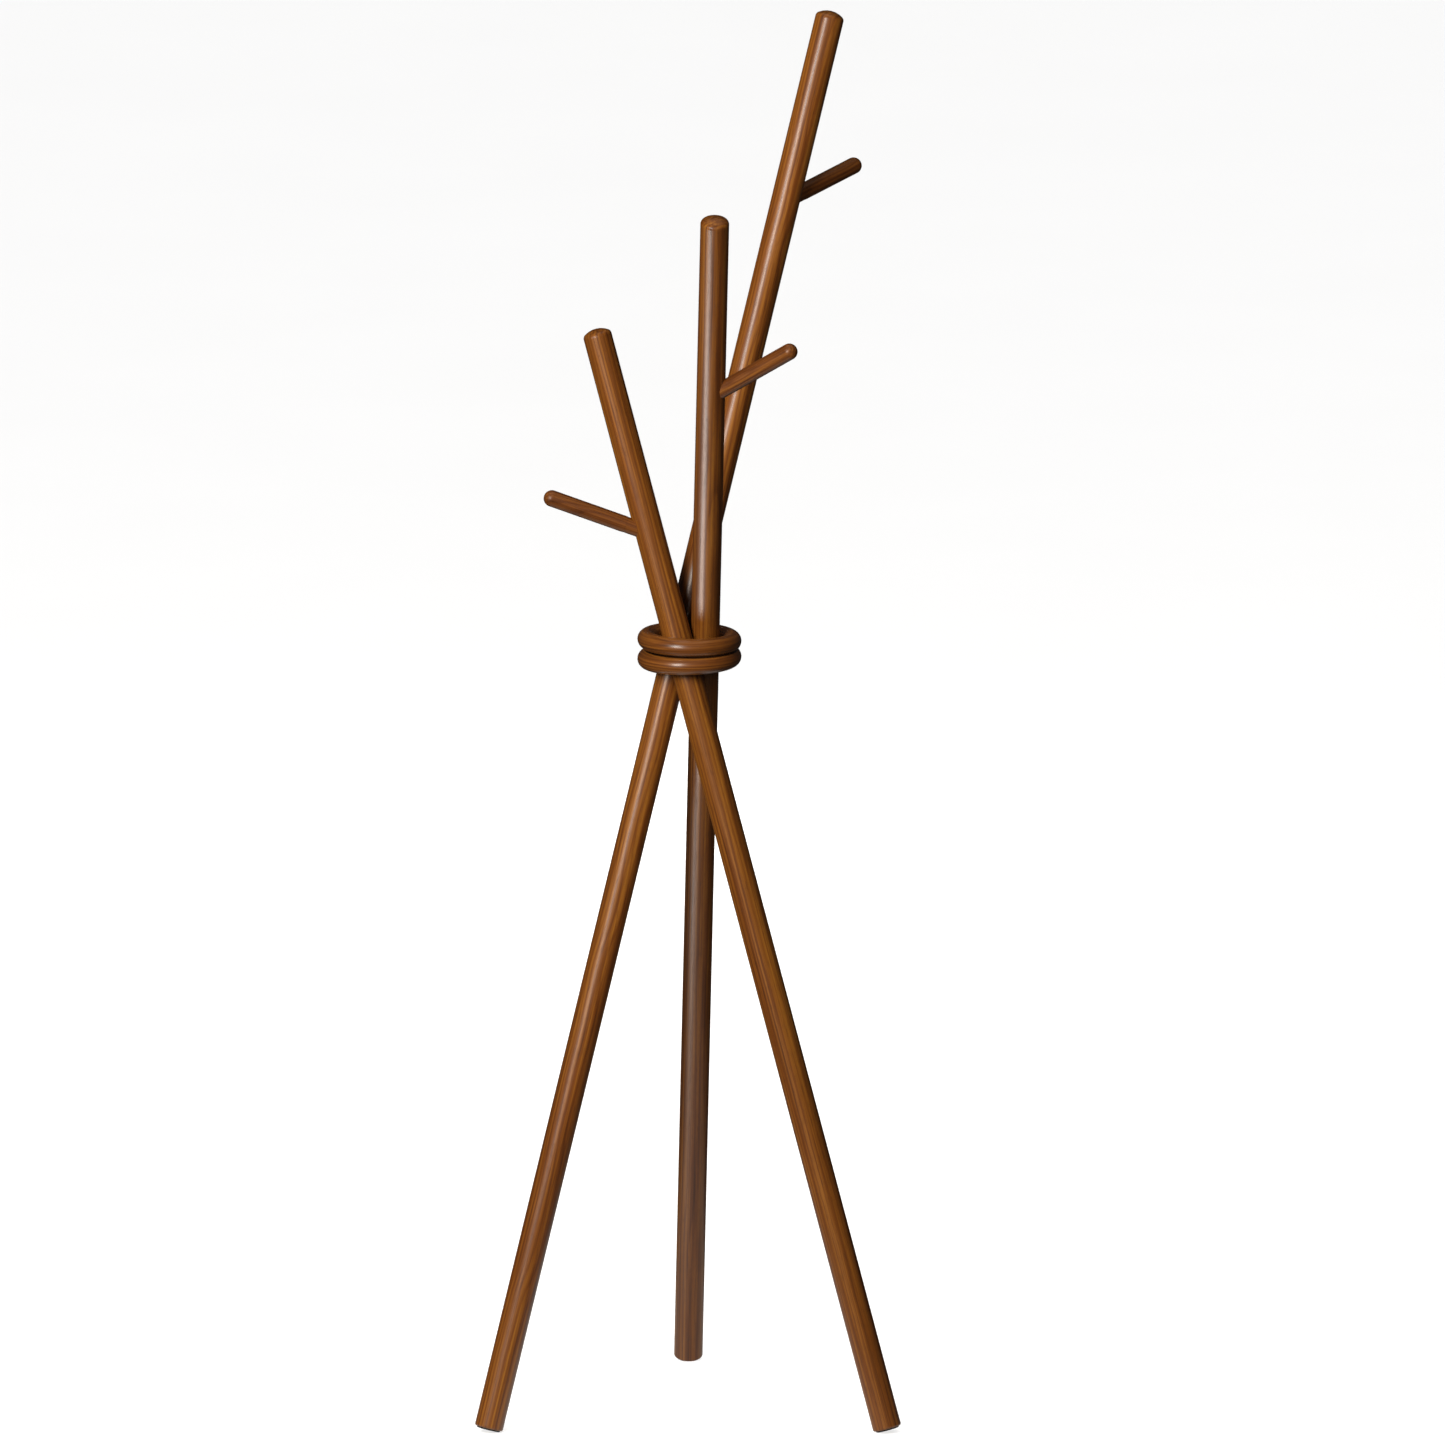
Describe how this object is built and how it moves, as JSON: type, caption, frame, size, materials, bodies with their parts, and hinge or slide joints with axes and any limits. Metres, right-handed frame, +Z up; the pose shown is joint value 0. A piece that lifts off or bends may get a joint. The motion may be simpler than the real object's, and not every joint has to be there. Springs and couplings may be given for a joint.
{
  "type": "standing coat rack",
  "caption": "Twisted tripod coat rack: round walnut-stained poles of different length cross inside two wooden rings, each pole with one angled peg, and fold to a straight bundle.",
  "frame": {"origin": "on the floor, under the middle of the rack's bounding box; the tripod's upright centre line is 60 mm in front of it (towards -Y)", "axes": "+Z up; -Y is the front, where the short pole passes in front of the crossing; +X to the right seen from the front; the medium pole's foot is at the back (+Y)"},
  "size_m": [0.532, 0.4885, 1.7533],
  "materials": {
    "walnut_pole": "satin lacquer, lengthwise grain",
    "walnut_ring": "satin lacquer, grain running round the ring",
    "walnut_peg": "satin lacquer, lengthwise grain",
    "rubber_pad": "matte",
    "steel_pin": "ground",
    "zinc_hardware": "yellow zinc plate"
  },
  "bodies": {
    "rings": {"ring_upper": "walnut_ring", "ring_lower": "walnut_ring", "pivot_pin_tall": "steel_pin", "pivot_pin_medium": "steel_pin", "pivot_pin_short": "steel_pin"},
    "tall_pole": {"pole_tall": "walnut_pole", "peg_tall": "walnut_peg", "peg_bolt_tall": "zinc_hardware", "peg_insert_tall": "zinc_hardware", "foot_pad_tall": "rubber_pad", "foot_screw_tall": "zinc_hardware"},
    "medium_pole": {"pole_medium": "walnut_pole", "peg_medium": "walnut_peg", "peg_bolt_medium": "zinc_hardware", "peg_insert_medium": "zinc_hardware", "foot_pad_medium": "rubber_pad", "foot_screw_medium": "zinc_hardware"},
    "short_pole": {"pole_short": "walnut_pole", "peg_short": "walnut_peg", "peg_bolt_short": "zinc_hardware", "peg_insert_short": "zinc_hardware", "foot_pad_short": "rubber_pad", "foot_screw_short": "zinc_hardware"}
  },
  "joints": [
    {"name": "tall_fold", "type": "hinge", "parent": "rings", "child": "tall_pole", "pos_m": [-0.01273, -0.04313, 0.96992], "axis": [0.5621, -0.8271, 0], "range_deg": [0, 16.5]},
    {"name": "medium_fold", "type": "hinge", "parent": "rings", "child": "medium_pole", "pos_m": [0.02107, -0.05759, 0.96992], "axis": [-0.9973, -0.0732, 0], "range_deg": [0, 16.5]},
    {"name": "short_fold", "type": "hinge", "parent": "rings", "child": "short_pole", "pos_m": [-0.00835, -0.07963, 0.96992], "axis": [0.4352, 0.9003, 0], "range_deg": [0, 16.5]}
  ],
  "couplings": [
    {"joint": "medium_fold", "follows": "tall_fold", "ratio": 1},
    {"joint": "short_fold", "follows": "tall_fold", "ratio": 1}
  ]
}
